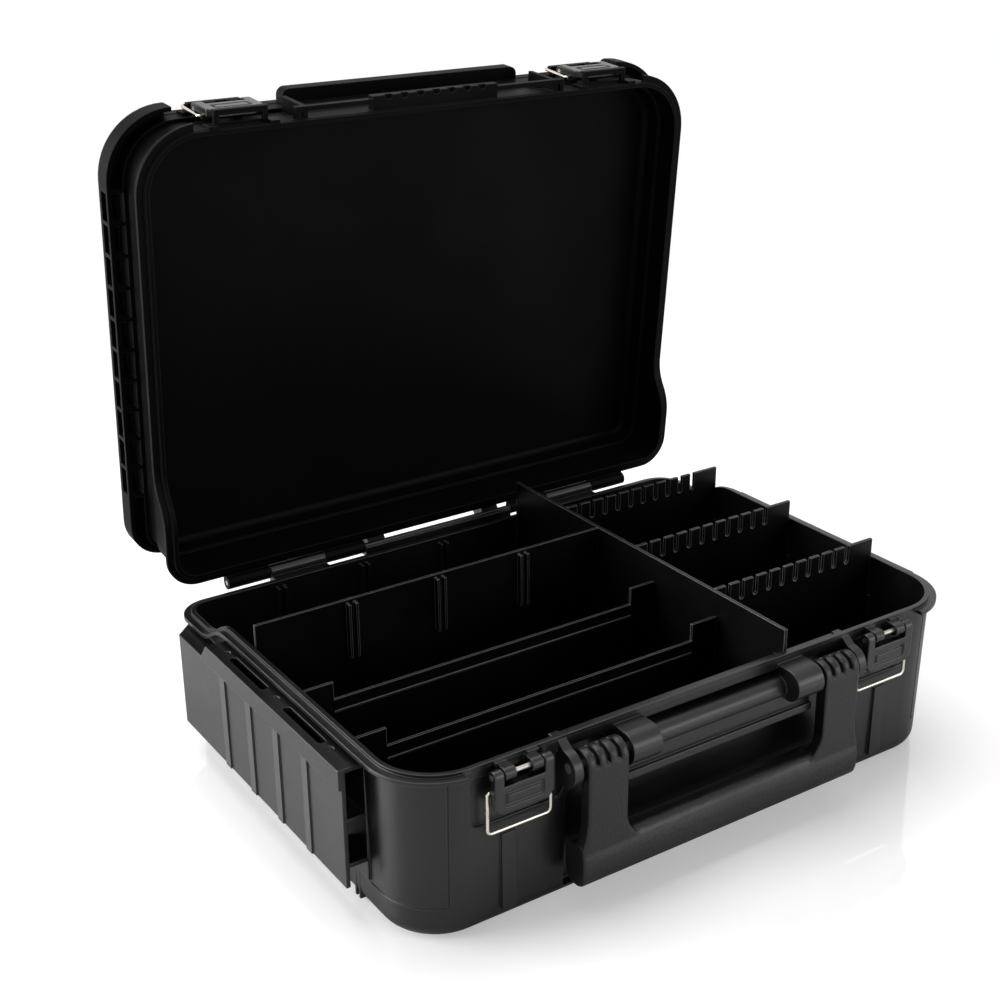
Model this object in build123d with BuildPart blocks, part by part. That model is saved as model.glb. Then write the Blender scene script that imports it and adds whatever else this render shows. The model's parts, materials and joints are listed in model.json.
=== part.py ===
from build123d import *
import os

os.makedirs("parts", exist_ok=True)

# Case shell, all sizes in millimetres
INNER_W = 348.0
INNER_D = 249.0
FRONT_CORNER_R = 30.0
BACK_CORNER_R = 12.0
WALL = 2.5
FLOOR_T = 2.8
RIM_Z = 93.0
DRAFT = 1.0
DRAFT_RUN = 0.01746
BOTTOM_R = 8.0
HALF_W = INNER_W / 2
HALF_D = INNER_D / 2
WALL_Y = HALF_D + WALL

# Rim, stepped down near the back
RIM_DROP = 12.0
RAMP_START_Y = 60.0
RAMP_END_Y = 95.0
BEAD_H = 1.8
FLANGE_OUT = 6.5
FLANGE_T = 2.2
FLANGE_CUT_HALF = 147.0
PARTING_GAP = 0.3
BODY_GAP = 0.3
REACH = 260.0

# Side racks
RACK_X = 190.0
RACK_FACE_STEP = 1.5
RACK_FRONT_Y = -85.0
RACK_BACK_Y = 64.0
RACK_TOP_Z = 86.0
RACK_BAND_H = 11.0
RACK_BOTTOM_Z = 20.0
RACK_SKIN = 2.2
WIDE_BACK_Y = 116.0
SLANT = 9.0
SLOT_L = 40.0
SLOT_W = 4.4
SLOT_X = 183.6
SLOT_YS = (24.0, -38.5)
STRIP_W = 6.0
STRIP_H = 0.8
STRIP_YS = (47.0, 15.5, -16.0, -47.5)
RACK_RIB_ZS = (31.0, 56.0)
RACK_RIB_L = 22.0
PIT_R = 2.2
PIT_DEPTH = 0.6

# Front panel lines and raised strips
LINE_X = 155.0
LINE_Z = 18.0
LINE_W = 0.9
LINE_DEPTH = 0.6
PILASTER_X = 123.0
PILASTER_W = 8.0
PILASTER_TOP = 51.0

# Latches, one design used four times
LATCH_X = 119.0
LATCH_PIN_Y = -132.0
LATCH_PIN_Z = 87.5
LATCH_PIN_R = 1.2
LEVER_W = 33.0
LEVER_L = 19.5
LEVER_T = 4.4
LEVER_TOP_R = 3.2
LEVER_ARM_W = 5.0
LEVER_WINDOW_L = 5.0
LEVER_CHAMFER = 3.5
GROOVE_W = 22.0
GROOVE_H = 7.5
GROOVE_LINE = 1.5
GROOVE_DEPTH = 1.0
HOLE_CLEAR = 0.25
BLOCK_W = 6.0
BLOCK_INNER = 4.6
WIRE_R = 0.9
BAIL_HALF = 17.9
BAIL_PIVOT_DOWN = 9.0
BAIL_PIVOT_IN = 2.0
BAIL_L = 22.4
BAIL_BEND_R = 2.6
STUB_BEND_R = 1.3
STUB_L = 4.4
LEVER_LIFT = 150.0
UPPER_BAIL_LEAN = 13.0
UPPER_PIN_Z = 121.5
POCKET_W = 49.0
POCKET_H = 27.0
POCKET_Z = 73.0
POCKET_DEPTH = 2.0
TAB_W = 6.5
TAB_X = 9.0
TAB_H = 2.6
TAB_OUT = 1.6

# Catch bridges that the bails hook over
BRIDGE_W = 41.0
BRIDGE_LEG_W = 5.5
BRIDGE_T = 1.7
BRIDGE_TOP = 7.8
BRIDGE_BAR_H = 3.0
UPPER_CATCH_Z = 127.1
LEDGE_W = 31.0
LEDGE_OUT = 9.0
UPPER_LEDGE_OUT = 5.4
LEDGE_RIM = 3.0
LEDGE_T = 2.0
LIP_T = 1.1
LIP_H = 1.5

# Carry handle and its bearings
HANDLE_Y = -135.5
HANDLE_Z = 80.0
HANDLE_PIN_R = 2.5
KNUCKLE_R = 8.0
ARM_INNER = 64.5
ARM_OUTER = 88.0
ARM_T = 7.0
GRIP_H = 23.0
GRIP_BOTTOM = 13.6
GRIP_END = 91.0
GRIP_BACK_Y = -128.0
GRIP_FRONT_Y = -144.5
CHEEK_IN = 90.0
CHEEK_T = 5.0
CHEEK_NOSE_R = 9.6
CHEEK_NOSE_Y = -132.0
CHEEK_NOSE_Z = 78.0
BARREL_IN = 44.5
BARREL_OUT = 62.0
BARREL_R = 8.6
BEAM_R = 6.0
BEAM_Y = -129.0
BEAM_Z = 77.0
APRON_Z = 61.0
APRON_Y = -134.0
APRON_T = 2.4
APRON_LIP = 2.0
BAY_FLOOR_Z = 5.0
BAY_TOP_Z = 86.0
BAY_Y = -119.5
BAY_NOTCH_XS = (-55.0, -26.0, 3.0, 32.0)
BAY_NOTCH_W = 7.0
BAY_NOTCH_H = 6.0
BAY_NOTCH_Z = 56.0
KNUCKLE_SLOT_W = 2.2
KNUCKLE_SLOT_PITCH = 5.0
KNUCKLE_SLOT_DEPTH = 3.2
HANDLE_SWING = 100.0

# Lid hinge
HINGE_Y = 135.5
HINGE_Z = RIM_Z - RIM_DROP + 2.0
HINGE_R = 4.0
HINGE_PIN_R = 1.5
HINGE_SPAN = (54.0, 145.0)
BASE_KNUCKLES = ((81.6, 117.4),)
LID_KNUCKLES = ((54.0, 81.0), (118.0, 145.0))
HINGE_BAR_HALF = 53.4
HINGE_BAR_R = 1.7
HINGE_BAR_OUT = 2.2
HINGE_BAR_DROP = 0.4
OPEN_ANGLE = 85.0
STOP_X = 36.0
STOP_W = 12.0
STOP_DROP = 26.0
STOP_NEAR = 12.0
STOP_FAR = 22.0
STOP_LIFT = 9.2
STOP_RISE = 1.0

# Middle tray, modelled closed over the base
TRAY_FLOOR_Z = 120.0
TRAY_FLOOR_T = 2.2
TRAY_STEP_Z = 108.0
TRAY_STEP_IN = 1.5
TRAY_ROOT = 0.1
TRAY_TOP_Z = 126.0
TRAY_INNER_R = 4.0
RAIL_HALF = 88.0
RAIL_Z = 96.0
RAIL_H = 3.2
RAIL_Y = -133.5
RAIL_T = 2.6
RAIL_THICK_HALF = 41.0
RAIL_THICK_Y = -135.0
RAIL_THICK_H = 5.0
SCALLOP_COUNT = 7
SCALLOP_R = 2.6
LID_CHEEK_X = 82.0
LID_CHEEK_T = 2.6
DECK_WALL_T = 1.8
DECK_WALL_XS = (-90.0, 0.0, 90.0)
DECK_WALL_H = 9.0

# Top cover, hinged on the tray
COVER_Z = 123.0
COVER_TOP_Z = 141.0
COVER_HALF_W = 185.5
COVER_FRONT_Y = -133.5
COVER_BACK_Y = 128.5
COVER_FRONT_R = 38.0
COVER_BACK_R = 20.0
COVER_EDGE_R = 7.0
COVER_SKIRT = 2.4
COVER_CUT_Y = -127.2
LADDER_START_Y = -92.0
LADDER_END_Y = 88.0
LADDER_BAYS = 10
RUNG_W = 2.0
LADDER_Z = 125.2
LADDER_H = 7.2
COVER_LIP_HALF = 78.0
COVER_LIP_Y = -134.8
COVER_LIP_H = 9.0
COVER_HINGE_Y = 133.0
COVER_HINGE_Z = 123.0
COVER_HINGE_R = 3.0
COVER_PIN_R = 1.2
COVER_TRAY_KNUCKLES = ((40.0, 46.0), (74.0, 80.0))
COVER_LID_KNUCKLES = ((46.6, 73.4),)
COVER_OPEN = 85.0

# Dividers in the base
PARTITION_X = 52.4
PARTITION_T = 2.0
DIVIDER_TOP = 105.0
REAR_Y = 37.0
REAR_T = 1.6
RIB_SLOT_XS = (-116.0, -60.0, -4.0)
RIB_H = 34.0
RIB_T = 1.4
RIB_OUT = 3.5
PLATE_YS = (-16.8, -70.6)
PLATE_T = 1.6
PLATE_TOP = 91.0
PLATE_LOW = 81.0
PLATE_END_L = 17.0
PLATE_STEP_Z = 74.0
PLATE_BEAD = 0.5
COMB_YS = (72.0, 3.0, -66.0)
COMB_T = 2.0
COMB_TEETH = 10
COMB_PITCH = 10.0
COMB_SLOT_W = 3.4
COMB_SLOT_DEPTH = 11.0
COMB_START = 9.0
COMB_BOTTOM = 14.0
DIVIDER_CLEAR = 0.35
GUIDE_T = 1.6
GUIDE_OUT = 2.2
GUIDE_H = 69.0

LEFT_RIGHT = (-1, 1)
CASE_CLOSED_AXIS = Axis((0, HINGE_Y, HINGE_Z), (1, 0, 0))


def save(piece, name):
    """Name a finished piece and write its file."""
    piece.label = name
    export_step(piece, "parts/" + name + ".step")


def save_open(piece, name):
    """Turn a piece drawn on the closed lid to the open rest position and write it."""
    save(piece.rotate(CASE_CLOSED_AXIS, -OPEN_ANGLE), name)


def plan(margin, height):
    """Plan outline of the case grown by a margin, at a height."""
    with BuildSketch(Plane.XY.offset(height)) as outline:
        Rectangle(INNER_W + 2 * margin, INNER_D + 2 * margin)
        fillet(outline.vertices().group_by(Axis.Y)[0], FRONT_CORNER_R + margin)
        fillet(outline.vertices().group_by(Axis.Y)[-1], BACK_CORNER_R + margin)
    return outline.sketch


def block(x_range, y_range, z_range):
    """Plain block between three pairs of limits."""
    with BuildPart() as body:
        with BuildSketch(Plane.XY.offset(z_range[0])):
            with Locations(((x_range[0] + x_range[1]) / 2, (y_range[0] + y_range[1]) / 2)):
                Rectangle(x_range[1] - x_range[0], y_range[1] - y_range[0])
        extrude(amount=z_range[1] - z_range[0])
    return body.part


def side_prism(points, x_range):
    """Prism along X from a polygon drawn in the side view."""
    with BuildPart() as body:
        with BuildSketch(Plane.YZ.offset(x_range[0])):
            Polygon(*points, align=None)
        extrude(amount=x_range[1] - x_range[0])
    return body.part


def cylinder_x(y, z, radius, x_range):
    """Cylinder along X."""
    with BuildPart() as body:
        with BuildSketch(Plane.YZ.offset(x_range[0])):
            with Locations((y, z)):
                Circle(radius)
        extrude(amount=x_range[1] - x_range[0])
    return body.part


def span(side, limits):
    """Limits along X on the chosen side of the case, smallest first."""
    return tuple(sorted((side * limits[0], side * limits[1])))


def rim_slab(low, high):
    """Slab between two offsets from the stepped parting line."""
    low_z = RIM_Z + low
    high_z = RIM_Z + high
    mid_y = (RAMP_START_Y + RAMP_END_Y) / 2
    with BuildPart() as slab:
        with BuildSketch(Plane.YZ):
            with BuildLine():
                for level in (low_z, high_z):
                    Line((-REACH, level), (RAMP_START_Y, level))
                    bend = TangentArc(
                        (RAMP_START_Y, level), (mid_y, level - RIM_DROP / 2), tangent=(1, 0)
                    )
                    TangentArc(
                        (mid_y, level - RIM_DROP / 2), (RAMP_END_Y, level - RIM_DROP), tangent=bend % 1
                    )
                    Line((RAMP_END_Y, level - RIM_DROP), (REACH, level - RIM_DROP))
                Line((-REACH, low_z), (-REACH, high_z))
                Line((REACH, low_z - RIM_DROP), (REACH, high_z - RIM_DROP))
            make_face()
        extrude(amount=REACH, both=True)
    return slab.part


def rim_band(inner, outer, low, high):
    """Band of the rim between two plan margins that follows the parting line."""
    with BuildPart() as band:
        extrude(plan(outer, 0), amount=REACH)
        extrude(plan(inner, 0), amount=REACH, mode=Mode.SUBTRACT)
        add(rim_slab(low, high), mode=Mode.INTERSECT)
    return band.part


def tub_body(margin, depth):
    """Drafted body below the front rim height, shrinking towards the floor."""
    with BuildPart() as body:
        extrude(plan(margin, RIM_Z), amount=-depth, taper=DRAFT)
    return body.part


def wall_skin(inner, outer):
    """Thin drafted layer on the outside of the tub wall."""
    with BuildPart() as skin:
        add(tub_body(outer, RIM_Z))
        add(tub_body(inner, RIM_Z), mode=Mode.SUBTRACT)
    return skin.part


def rack(side):
    """Slotted side rack with skirt, strips and inner ribs on one side of the tub."""
    face_x = RACK_X - RACK_FACE_STEP
    band_z = RACK_TOP_Z - RACK_BAND_H
    hollow = (HALF_W + WALL, face_x - RACK_SKIN)
    root = HALF_W
    with BuildPart() as body:
        with BuildSketch(Plane.XZ.offset(-RACK_BACK_Y)):
            Polygon(
                (side * root, RACK_BOTTOM_Z),
                (side * face_x, RACK_BOTTOM_Z),
                (side * face_x, band_z),
                (side * RACK_X, band_z),
                (side * RACK_X, RACK_TOP_Z),
                (side * root, RACK_TOP_Z),
                align=None,
            )
        extrude(amount=RACK_BACK_Y - RACK_FRONT_Y)
        add(block(span(side, (root, face_x)), (RACK_BACK_Y, WIDE_BACK_Y), (RACK_BOTTOM_Z, band_z)))
        add(
            side_prism(
                (
                    (RACK_BACK_Y - SLANT, band_z),
                    (RACK_BACK_Y + SLANT, band_z),
                    (RACK_BACK_Y, RACK_TOP_Z),
                    (RACK_BACK_Y - SLANT, RACK_TOP_Z),
                ),
                span(side, (root, RACK_X)),
            )
        )
        corner = body.edges().filter_by(Axis.Z).sort_by(Axis.Y)[-1]
        chamfer(corner, face_x - HALF_W - WALL - 1)
        add(
            block(
                span(side, hollow),
                (RACK_FRONT_Y - 1, RACK_BACK_Y - RACK_SKIN),
                (RACK_BOTTOM_Z - 1, RACK_TOP_Z - RACK_SKIN),
            ),
            mode=Mode.SUBTRACT,
        )
        add(
            block(
                span(side, hollow),
                (RACK_BACK_Y - SLANT, WIDE_BACK_Y - 2 * SLANT),
                (RACK_BOTTOM_Z - 1, band_z - RACK_SKIN),
            ),
            mode=Mode.SUBTRACT,
        )
        for slot_y in SLOT_YS:
            with BuildSketch(Plane.XY.offset(RACK_TOP_Z)):
                with Locations((side * SLOT_X, slot_y)):
                    SlotOverall(SLOT_L, SLOT_W, rotation=90)
            extrude(amount=-2 * RACK_SKIN, mode=Mode.SUBTRACT)
        for strip_y in STRIP_YS:
            add(
                block(
                    span(side, (face_x - RACK_SKIN / 2, face_x + STRIP_H)),
                    (strip_y - STRIP_W / 2, strip_y + STRIP_W / 2),
                    (RACK_BOTTOM_Z, band_z),
                )
            )
        for rib_z in RACK_RIB_ZS:
            add(
                block(
                    span(side, (root, face_x - RACK_SKIN / 2)),
                    (RACK_FRONT_Y, RACK_FRONT_Y + RACK_RIB_L),
                    (rib_z, rib_z + RACK_SKIN),
                )
            )
        for strip_y in STRIP_YS[:-1]:
            add(
                block(
                    span(side, (root, face_x - RACK_SKIN / 2)),
                    (strip_y - RACK_SKIN / 2, strip_y + RACK_SKIN / 2),
                    (RACK_BOTTOM_Z, band_z),
                )
            )
    return body.part


def latch_blocks(pin_z, top_z, root_y):
    """Pair of bearing blocks for a latch lever, centred on x 0."""
    with BuildPart() as blocks:
        for side in LEFT_RIGHT:
            x_range = span(side, (BLOCK_INNER, BLOCK_INNER + BLOCK_W))
            add(block(x_range, (LATCH_PIN_Y, root_y), (pin_z - LEVER_TOP_R, top_z)))
            add(cylinder_x(LATCH_PIN_Y, pin_z, LEVER_TOP_R, x_range))
        add(
            cylinder_x(LATCH_PIN_Y, pin_z, LATCH_PIN_R, (-LATCH_X, LATCH_X)),
            mode=Mode.SUBTRACT,
        )
    return blocks.part


def lever(pin_z):
    """Latch lever hanging from its pin, centred on x 0."""
    front_y = LATCH_PIN_Y - LEVER_TOP_R
    back_y = front_y + LEVER_T
    low_z = pin_z - LEVER_L
    arm_in = LEVER_W / 2 - LEVER_ARM_W
    with BuildPart() as body:
        with BuildSketch(Plane.XZ.offset(-back_y)):
            with Locations((0, (pin_z + low_z) / 2)):
                Rectangle(LEVER_W, LEVER_L)
        extrude(amount=LEVER_T)
        chamfer(body.edges().filter_by(Axis.Y).group_by(Axis.Z)[0], LEVER_CHAMFER)
        for side in LEFT_RIGHT:
            add(cylinder_x(LATCH_PIN_Y, pin_z, LEVER_TOP_R, span(side, (arm_in, LEVER_W / 2))))
        add(
            block((-arm_in, arm_in), (front_y - 1, back_y + 1), (pin_z - LEVER_WINDOW_L, pin_z + LEVER_L)),
            mode=Mode.SUBTRACT,
        )
        add(
            cylinder_x(LATCH_PIN_Y, pin_z, LATCH_PIN_R + HOLE_CLEAR, (-LEVER_W, LEVER_W)),
            mode=Mode.SUBTRACT,
        )
        for side in LEFT_RIGHT:
            pivot_y = LATCH_PIN_Y + BAIL_PIVOT_IN
            pivot_z = pin_z - BAIL_PIVOT_DOWN
            reach = span(side, (arm_in, LEVER_W / 2))
            add(
                block(
                    reach,
                    (back_y, pivot_y + 2 * WIRE_R),
                    (pivot_z - 2 * WIRE_R, pivot_z + 2 * WIRE_R),
                )
            )
            stub = span(side, (BAIL_HALF - STUB_L - HOLE_CLEAR, LEVER_W))
            add(cylinder_x(pivot_y, pivot_z, WIRE_R + HOLE_CLEAR, stub), mode=Mode.SUBTRACT)
        with BuildSketch(Plane.XZ.offset(-front_y)):
            with Locations((0, low_z + LEVER_CHAMFER + GROOVE_H / 2)):
                RectangleRounded(GROOVE_W, GROOVE_H, GROOVE_LINE)
                RectangleRounded(
                    GROOVE_W - 2 * GROOVE_LINE, GROOVE_H - 2 * GROOVE_LINE, GROOVE_LINE / 2, mode=Mode.SUBTRACT
                )
        extrude(amount=-GROOVE_DEPTH, mode=Mode.SUBTRACT)
    return body.part


def bail(pin_z, angle):
    """Wire bail turned outward by an angle from hanging straight down."""
    pivot_y = LATCH_PIN_Y + BAIL_PIVOT_IN
    pivot_z = pin_z - BAIL_PIVOT_DOWN
    with BuildPart() as wire:
        with BuildLine(Plane.XZ.offset(-pivot_y)) as path:
            shoulder = pivot_z - 2 * BAIL_BEND_R
            FilletPolyline(
                (-BAIL_HALF + STUB_L, pivot_z),
                (-BAIL_HALF, pivot_z),
                (-BAIL_HALF, shoulder),
                radius=STUB_BEND_R,
            )
            FilletPolyline(
                (-BAIL_HALF, shoulder),
                (-BAIL_HALF, pivot_z - BAIL_L),
                (BAIL_HALF, pivot_z - BAIL_L),
                (BAIL_HALF, shoulder),
                radius=BAIL_BEND_R,
            )
            FilletPolyline(
                (BAIL_HALF, shoulder),
                (BAIL_HALF, pivot_z),
                (BAIL_HALF - STUB_L, pivot_z),
                radius=STUB_BEND_R,
            )
        with BuildSketch(Plane(origin=path.line @ 0, z_dir=path.line % 0)):
            Circle(WIRE_R)
        sweep()
    return wire.part.rotate(Axis((0, pivot_y, pivot_z), (1, 0, 0)), -angle)


def catch_bridge(base_z, ledge_out):
    """Bridge standing on a rim, with an open loop in front that a bail hooks over, centred on x 0."""
    top_z = base_z + BRIDGE_TOP
    with BuildPart() as bridge:
        with BuildSketch(Plane.XZ.offset(HALF_D + WALL / 2)):
            with Locations((0, (base_z + top_z) / 2)):
                Rectangle(BRIDGE_W, top_z - base_z)
            with Locations((0, (base_z + top_z - BRIDGE_BAR_H) / 2)):
                Rectangle(
                    BRIDGE_W - 2 * BRIDGE_LEG_W, top_z - base_z - BRIDGE_BAR_H, mode=Mode.SUBTRACT
                )
        extrude(amount=BRIDGE_T + WALL / 2)
        ledge_front = -WALL_Y - ledge_out
        window = LEDGE_W / 2 - LEDGE_RIM
        ledge_top = top_z - LIP_H
        add(block((-LEDGE_W / 2, LEDGE_W / 2), (ledge_front, -WALL_Y), (ledge_top - LEDGE_T, ledge_top)))
        add(block((-LEDGE_W / 2, LEDGE_W / 2), (ledge_front, ledge_front + LIP_T), (ledge_top, top_z)))
        add(
            block((-window, window), (ledge_front + LEDGE_RIM, -WALL_Y), (ledge_top - LEDGE_T, ledge_top)),
            mode=Mode.SUBTRACT,
        )
    return bridge.part


def handle_bearings():
    """Cheeks, barrels and the apron beam that carry the handle."""
    with BuildPart() as body:
        for side in LEFT_RIGHT:
            cheek = span(side, (CHEEK_IN, CHEEK_IN + CHEEK_T))
            add(cylinder_x(CHEEK_NOSE_Y, CHEEK_NOSE_Z, CHEEK_NOSE_R, cheek))
            add(
                side_prism(
                    (
                        (-WALL_Y, RIM_Z - BEAD_H),
                        (CHEEK_NOSE_Y, CHEEK_NOSE_Z + CHEEK_NOSE_R),
                        (CHEEK_NOSE_Y, CHEEK_NOSE_Z - CHEEK_NOSE_R),
                        (-WALL_Y, CHEEK_NOSE_Z - 2 * CHEEK_NOSE_R),
                        (BAY_Y, CHEEK_NOSE_Z - 2 * CHEEK_NOSE_R),
                        (BAY_Y, RIM_Z - BEAD_H),
                    ),
                    cheek,
                )
            )
            barrel = span(side, (BARREL_IN, BARREL_OUT))
            add(cylinder_x(HANDLE_Y, HANDLE_Z, BARREL_R, barrel))
            add(block(barrel, (HANDLE_Y, BAY_Y), (HANDLE_Z - BARREL_R, HANDLE_Z + BARREL_R)))
        beam = (-BARREL_IN, BARREL_IN)
        add(cylinder_x(BEAM_Y, BEAM_Z, BEAM_R, beam))
        add(block(beam, (BEAM_Y, BAY_Y), (BEAM_Z - BEAM_R, BEAM_Z + BEAM_R)))
        apron = (-BARREL_OUT, BARREL_OUT)
        add(block(apron, (APRON_Y, APRON_Y + APRON_T), (APRON_Z, BEAM_Z)))
        add(block(apron, (APRON_Y - APRON_LIP, APRON_Y), (APRON_Z, APRON_Z + 2 * APRON_LIP)))
        add(block(apron, (APRON_Y, BAY_Y), (BEAM_Z - BEAM_R, BEAM_Z - BEAM_R + APRON_T)))
        for side in LEFT_RIGHT:
            add(
                cylinder_x(HANDLE_Y, HANDLE_Z, HANDLE_PIN_R, span(side, (BARREL_IN + CHEEK_T, CHEEK_IN + CHEEK_T))),
                mode=Mode.SUBTRACT,
            )
    return body.part


def knuckles(pairs, y, z, radius, pin_radius, y_root, z_root):
    """Hinge knuckles on both sides, each with a web back to its shell."""
    with BuildPart() as body:
        for side in LEFT_RIGHT:
            for pair in pairs:
                add(cylinder_x(y, z, radius, span(side, pair)))
                add(block(span(side, pair), (y_root, y), z_root))
        add(cylinder_x(y, z, pin_radius, (-REACH, REACH)), mode=Mode.SUBTRACT)
    return body.part


# Base tub
def tub_shell():
    """Drafted shell with racks, bay bump, stepped rim and flange."""
    with BuildPart() as cavity:
        add(tub_body(0, RIM_Z - FLOOR_T))
        fillet(cavity.faces().sort_by(Axis.Z)[0].edges(), BOTTOM_R - WALL)
        bumps = [
            block((-CHEEK_IN - WALL, CHEEK_IN + WALL), (-WALL_Y, BAY_Y + WALL), (0, BAY_TOP_Z + WALL))
        ]
        for side in LEFT_RIGHT:
            half = POCKET_W / 2 + WALL
            bumps.append(
                block(
                    (side * LATCH_X - half, side * LATCH_X + half),
                    (-WALL_Y, -HALF_D + POCKET_DEPTH),
                    (POCKET_Z - POCKET_H / 2 - WALL, POCKET_Z + POCKET_H / 2 + WALL / 2),
                )
            )
        add(bumps, mode=Mode.SUBTRACT)
    with BuildPart() as tub:
        add(tub_body(WALL, RIM_Z))
        fillet(tub.faces().sort_by(Axis.Z)[0].edges(), BOTTOM_R)
        add([rack(side) for side in LEFT_RIGHT])
        add([cavity.part, rim_slab(0, REACH / 2)], mode=Mode.SUBTRACT)
        add(rim_band(0, FLANGE_OUT, -BEAD_H - FLANGE_T, -BEAD_H))
    return tub.part


def tub_cuts():
    """Everything cut from the tub: bay, pockets, notches, panel lines and ejector pits."""
    front = -WALL_Y - 2 * FLANGE_OUT
    cuts = [
        block((-FLANGE_CUT_HALF, FLANGE_CUT_HALF), (front, -WALL_Y), (RACK_TOP_Z, RIM_Z)),
        block((-CHEEK_IN, CHEEK_IN), (front, BAY_Y), (BAY_FLOOR_Z, BAY_TOP_Z)),
    ]
    for notch_x in BAY_NOTCH_XS:
        cuts.append(
            block(
                (notch_x - BAY_NOTCH_W / 2, notch_x + BAY_NOTCH_W / 2),
                (BAY_Y - 1, BAY_Y + WALL / 2),
                (BAY_NOTCH_Z, BAY_NOTCH_Z + BAY_NOTCH_H),
            )
        )
    lines = wall_skin(WALL - LINE_DEPTH, WALL + 1)
    for side in LEFT_RIGHT:
        with BuildPart() as pocket:
            with BuildSketch(Plane.XZ.offset(WALL_Y - POCKET_DEPTH)):
                with Locations((side * LATCH_X, POCKET_Z)):
                    RectangleRounded(POCKET_W, POCKET_H, LEVER_CHAMFER)
            extrude(amount=2 * POCKET_DEPTH)
        upright = block(
            span(side, (LINE_X - LINE_W / 2, LINE_X + LINE_W / 2)),
            (-REACH, 0),
            (LINE_Z, RIM_Z - BEAD_H - FLANGE_T),
        )
        around = block(
            span(side, (LINE_X - LINE_W / 2, REACH)), (-REACH, RACK_FRONT_Y), (LINE_Z, LINE_Z + LINE_W)
        )
        with BuildPart() as pits:
            with BuildSketch(Plane.XY.offset(RACK_TOP_Z)):
                edge = SLOT_L / 2 + 3 * PIT_R
                spots = (SLOT_YS[0] + edge, sum(SLOT_YS) / 2, SLOT_YS[1] - edge)
                with Locations([(side * SLOT_X, spot) for spot in spots]):
                    Circle(PIT_R)
            extrude(amount=-PIT_DEPTH)
        cuts += [pocket.part, lines & upright, lines & around, pits.part]
    return cuts


def tub_additions():
    """Everything fused to the tub: bearings, latch blocks, tabs, stops, knuckles and guides."""
    adds = [handle_bearings()]
    for side in LEFT_RIGHT:
        adds.append(Pos(side * LATCH_X, 0, 0) * latch_blocks(LATCH_PIN_Z, LATCH_PIN_Z + LEVER_TOP_R, -HALF_D - WALL / 2))
        for tab in LEFT_RIGHT:
            tab_x = side * LATCH_X + tab * TAB_X
            adds.append(
                block(
                    (tab_x - TAB_W / 2, tab_x + TAB_W / 2),
                    (-WALL_Y - TAB_OUT, -HALF_D - WALL / 2),
                    (RIM_Z - TAB_H, RIM_Z - BEAD_H / 2),
                )
            )
        adds.append(
            block(
                (side * PILASTER_X - PILASTER_W / 2, side * PILASTER_X + PILASTER_W / 2),
                (-WALL_Y - STRIP_H / 2, -HALF_D - 1),
                (BOTTOM_R, PILASTER_TOP),
            )
        )
        adds.append(
            side_prism(
                (
                    (HALF_D + WALL / 2, HINGE_Z - STOP_DROP),
                    (HALF_D + WALL / 2, HINGE_Z - 2 * HINGE_R),
                    (HINGE_Y, HINGE_Z - 1.5 * HINGE_R),
                    (HINGE_Y + STOP_NEAR, HINGE_Z + STOP_LIFT),
                    (HINGE_Y + STOP_FAR, HINGE_Z + STOP_LIFT + STOP_RISE),
                    (HINGE_Y + STOP_FAR, HINGE_Z + STOP_LIFT / 2),
                    (HINGE_Y + 2 * HINGE_R, HINGE_Z - STOP_DROP / 2),
                ),
                span(side, (STOP_X, STOP_X + STOP_W)),
            )
        )
    adds.append(
        knuckles(
            BASE_KNUCKLES,
            HINGE_Y,
            HINGE_Z,
            HINGE_R,
            HINGE_PIN_R,
            HALF_D + WALL / 2,
            (HINGE_Z - 2 * HINGE_R, HINGE_Z - HINGE_R / 2),
        )
    )
    bar = (-HINGE_BAR_HALF, HINGE_BAR_HALF)
    adds.append(cylinder_x(HINGE_Y, HINGE_Z, HINGE_BAR_R, bar))
    adds.append(
        block(
            bar,
            (HALF_D + WALL + FLANGE_OUT - HINGE_BAR_DROP, HINGE_Y + HINGE_BAR_OUT),
            (RIM_Z - RIM_DROP - BEAD_H - FLANGE_T, HINGE_Z - HINGE_BAR_DROP),
        )
    )
    for rib_x in RIB_SLOT_XS:
        for side in LEFT_RIGHT:
            x = rib_x + side * (REAR_T / 2 + RIB_T)
            adds.append(
                block(
                    (x - RIB_T / 2, x + RIB_T / 2),
                    (HALF_D - RIB_OUT, HALF_D + WALL / 2),
                    (RIM_Z - RIM_DROP - RIB_H, RIM_Z - RIM_DROP - 2 * BEAD_H),
                )
            )
    left_guides = [(y, PLATE_T, (-HALF_W - WALL / 2, -HALF_W + GUIDE_OUT)) for y in (REAR_Y,) + PLATE_YS]
    right_guides = [(y, COMB_T, (HALF_W - GUIDE_OUT, HALF_W + WALL / 2)) for y in COMB_YS]
    for guide_y, thickness, x_range in left_guides + right_guides:
        for side in LEFT_RIGHT:
            y = guide_y + side * (thickness / 2 + DIVIDER_CLEAR + GUIDE_T / 2)
            adds.append(block(x_range, (y - GUIDE_T / 2, y + GUIDE_T / 2), (FLOOR_T / 2, GUIDE_H)))
    return adds


with BuildPart() as base_tub:
    add(tub_shell())
    add(tub_cuts(), mode=Mode.SUBTRACT)
    add(tub_additions())
save(base_tub.part, "base_tub")


# Dividers
def wall_at(half, z):
    """Half size of the drafted cavity at a height."""
    return half - abs(RIM_Z - z) * DRAFT_RUN


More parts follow.
